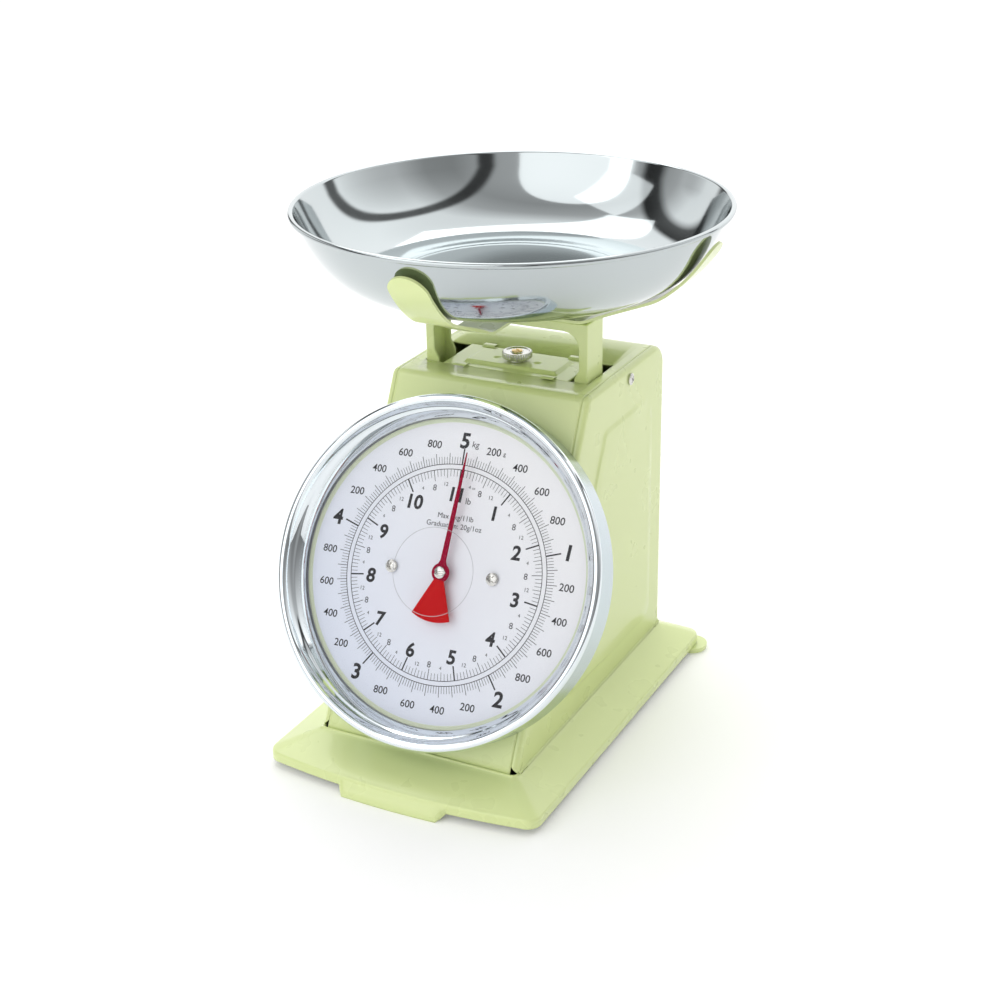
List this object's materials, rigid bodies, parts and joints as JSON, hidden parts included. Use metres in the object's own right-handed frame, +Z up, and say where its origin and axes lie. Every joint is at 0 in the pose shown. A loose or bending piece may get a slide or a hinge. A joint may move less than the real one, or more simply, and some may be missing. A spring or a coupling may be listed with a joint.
{
  "type": "mechanical kitchen scale",
  "caption": "Retro mechanical kitchen scale: cream sheet-metal body, round tilted chrome-rimmed dial with red pointer, and a lift-off steel bowl on a four-armed bracket.",
  "frame": {"origin": "middle of the footprint on the worktop, under the centre of the bounding box", "axes": "+Z up; -Y is the dial's side; +X is the user's right when facing the dial"},
  "size_m": [0.231, 0.267, 0.2819],
  "materials": {
    "cream_paint": "gloss cream enamel on pressed steel",
    "polished_steel": "polished stainless steel",
    "chrome_plate": "bright chrome",
    "zinc_plate": "dull zinc-plated steel",
    "bright_steel": "bright nickel-plated steel",
    "turned_brass": "turned, satin",
    "spring_steel": "drawn spring wire",
    "dial_white": "white enamel with printed scales",
    "pointer_red": "red enamel",
    "clear_lens": "clear, with a moulded ring"
  },
  "bodies": {
    "housing": {"base_skirt": "cream_paint", "bottom_plate": "zinc_plate", "rear_foot_left": "cream_paint", "rear_foot_right": "cream_paint", "centre_cover": "cream_paint", "side_panel_left": "cream_paint", "side_panel_right": "cream_paint", "side_screw_left": "bright_steel", "side_screw_right": "bright_steel", "hanger_plate": "cream_paint", "chassis_cheek_left": "zinc_plate", "chassis_cheek_right": "zinc_plate", "chassis_back": "zinc_plate", "upper_pivot_pin": "bright_steel", "lower_pivot_pin": "bright_steel", "dial_case": "zinc_plate", "dial_plate": "dial_white", "dial_lens": "clear_lens", "dial_bezel": "chrome_plate", "dial_pillar_left": "bright_steel", "dial_pillar_right": "bright_steel", "dial_screw_left": "bright_steel", "dial_screw_right": "bright_steel", "case_rivet_1": "bright_steel", "case_rivet_2": "bright_steel", "case_rivet_3": "bright_steel", "case_rivet_4": "bright_steel", "movement_front_plate": "zinc_plate", "movement_rear_plate": "zinc_plate", "front_bushing": "turned_brass", "rear_bushing": "turned_brass", "rack_guide": "turned_brass"},
    "platform": {"yoke": "cream_paint", "bowl_bracket": "cream_paint", "bracket_screw": "bright_steel", "upper_crossbar": "zinc_plate", "lower_crossbar": "zinc_plate", "upper_ear_left": "zinc_plate", "upper_ear_right": "zinc_plate", "lower_ear_left": "zinc_plate", "lower_ear_right": "zinc_plate", "upper_carriage_pin": "bright_steel", "lower_carriage_pin": "bright_steel", "rack_arm": "zinc_plate", "rack_pin": "bright_steel"},
    "bowl": {"bowl": "polished_steel"},
    "rack": {"rack": "zinc_plate"},
    "pointer": {"pinion": "turned_brass", "pinion_shaft": "bright_steel", "pointer": "pointer_red", "pointer_screw": "bright_steel"},
    "upper_link": {"upper_link": "zinc_plate"},
    "lower_link": {"lower_link": "zinc_plate"},
    "zero": {"zero_knob": "chrome_plate", "zero_screw": "turned_brass"},
    "hanger": {"spring_hanger": "zinc_plate", "spring_left": "spring_steel", "spring_right": "spring_steel"}
  },
  "joints": [
    {"name": "platform_slide", "type": "slide", "parent": "housing", "child": "platform", "axis": [0, 0, -1], "range_m": [0, 0.01819], "stiffness_N_per_m": 2697, "springref_m": -0.00284, "deforming": ["spring_left", "spring_right"]},
    {"name": "bowl_lift", "type": "slide", "parent": "platform", "child": "bowl", "axis": [0, 0, 1], "range_m": [0, 0.08]},
    {"name": "rack_slide", "type": "slide", "parent": "housing", "child": "rack", "axis": [0, -0.4548, -0.8906], "range_m": [0, 0.0206]},
    {"name": "pointer_turn", "type": "hinge", "parent": "housing", "child": "pointer", "pos_m": [0, -0.0647, 0.1047], "axis": [0, 0.8906, -0.4548], "range_deg": [0, 361]},
    {"name": "upper_link_turn", "type": "hinge", "parent": "housing", "child": "upper_link", "pos_m": [0, 0.07718, 0.11496], "axis": [1, 0, 0], "range_deg": [0, 21.2]},
    {"name": "lower_link_turn", "type": "hinge", "parent": "housing", "child": "lower_link", "pos_m": [0, 0.07718, 0.05296], "axis": [1, 0, 0], "range_deg": [0, 21.2]},
    {"name": "zero_turn", "type": "hinge", "parent": "housing", "child": "zero", "pos_m": [0, 0.0225, 0.19201], "axis": [0, 0, 1], "range_deg": [-361, 361]},
    {"name": "hanger_slide", "type": "slide", "parent": "housing", "child": "hanger", "axis": [0, 0, 1], "range_m": [-0.0007, 0.0007]}
  ],
  "couplings": [
    {"joint": "rack_slide", "follows": "platform_slide", "ratio": 1.1228},
    {"joint": "pointer_turn", "follows": "platform_slide", "rad_per_m": 345.49},
    {"joint": "upper_link_turn", "follows": "platform_slide", "rad_per_m": 20},
    {"joint": "lower_link_turn", "follows": "platform_slide", "rad_per_m": 20},
    {"joint": "zero_turn", "follows": "hanger_slide", "rad_per_m": 8976}
  ]
}
